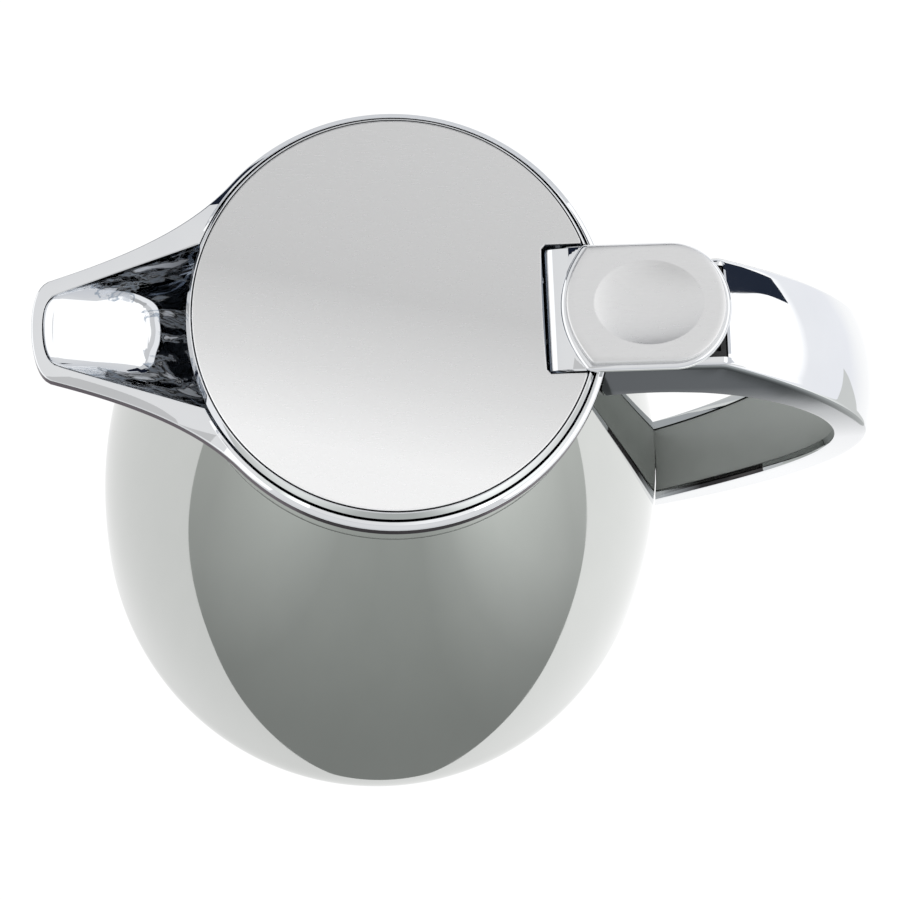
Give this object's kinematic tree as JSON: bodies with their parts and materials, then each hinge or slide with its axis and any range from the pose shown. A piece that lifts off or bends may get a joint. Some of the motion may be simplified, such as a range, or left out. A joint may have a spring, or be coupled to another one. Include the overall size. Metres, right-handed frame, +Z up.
{
  "type": "vacuum coffee jug",
  "caption": "Drop-shaped vacuum coffee jug with polished jacket, chrome pouring collar, strap handle and a screw stopper opened by a thumb lever.",
  "frame": {"origin": "middle of the flat foot pad under the base, on the jug's turning axis", "axes": "+Z up along the jug's axis, the spout points to -X and the handle to +X"},
  "size_m": [0.2046, 0.1458, 0.2409],
  "materials": {
    "polished_steel": "mirror-polished stainless steel",
    "chrome_plate": "bright chrome plating",
    "satin_steel": "fine satin stainless steel",
    "fastener_steel": "plain stainless steel",
    "black_plastic": "matt black",
    "grey_plastic": "matt dark grey",
    "silicone": "soft dark silicone",
    "silvered_glass": "silvered double-walled glass"
  },
  "bodies": {
    "jug": {"foot_pad": "silicone", "base_cap": "black_plastic", "flask_support": "silicone", "body_jacket": "polished_steel", "vacuum_flask": "silvered_glass", "neck_gasket": "silicone", "collar_with_spout": "chrome_plate", "handle_strap": "chrome_plate", "handle_inner_shell": "polished_steel", "handle_core": "black_plastic", "pocket_liner": "black_plastic", "handle_neck_screw_front": "fastener_steel", "handle_neck_screw_back": "fastener_steel", "handle_foot_screw": "fastener_steel"},
    "seal": {"stopper_gasket": "silicone"},
    "lid": {"lid_body": "grey_plastic", "lid_disc": "satin_steel", "lid_bezel": "chrome_plate", "spring_retainer": "grey_plastic", "valve_spring": "fastener_steel", "lever_pin": "fastener_steel"},
    "valve": {"valve_stem": "fastener_steel", "valve_plug": "grey_plastic", "valve_seal": "silicone", "lift_head": "grey_plastic"},
    "lever": {"lever_frame": "chrome_plate", "thumb_pad": "satin_steel"}
  },
  "joints": [
    {"name": "lid_lift", "type": "slide", "parent": "jug", "child": "seal", "axis": [0, 0, 1], "range_m": [0, 0.085]},
    {"name": "lid_turn", "type": "hinge", "parent": "seal", "child": "lid", "pos_m": [0, 0, 0.222], "axis": [0, 0, 1], "range_deg": [0, 90]},
    {"name": "lever_press", "type": "hinge", "parent": "lid", "child": "lever", "pos_m": [0.039, 0, 0.232], "axis": [0, 1, 0], "range_deg": [0, 6], "stiffness_Nm_per_rad": 0.5, "springref_deg": -11.46},
    {"name": "valve_lift", "type": "slide", "parent": "lid", "child": "valve", "axis": [0, 0, 1], "range_m": [0, 0.0043], "deforming": ["valve_spring"]}
  ],
  "couplings": [
    {"joint": "valve_lift", "follows": "lever_press", "m_per_rad": 0.039}
  ]
}
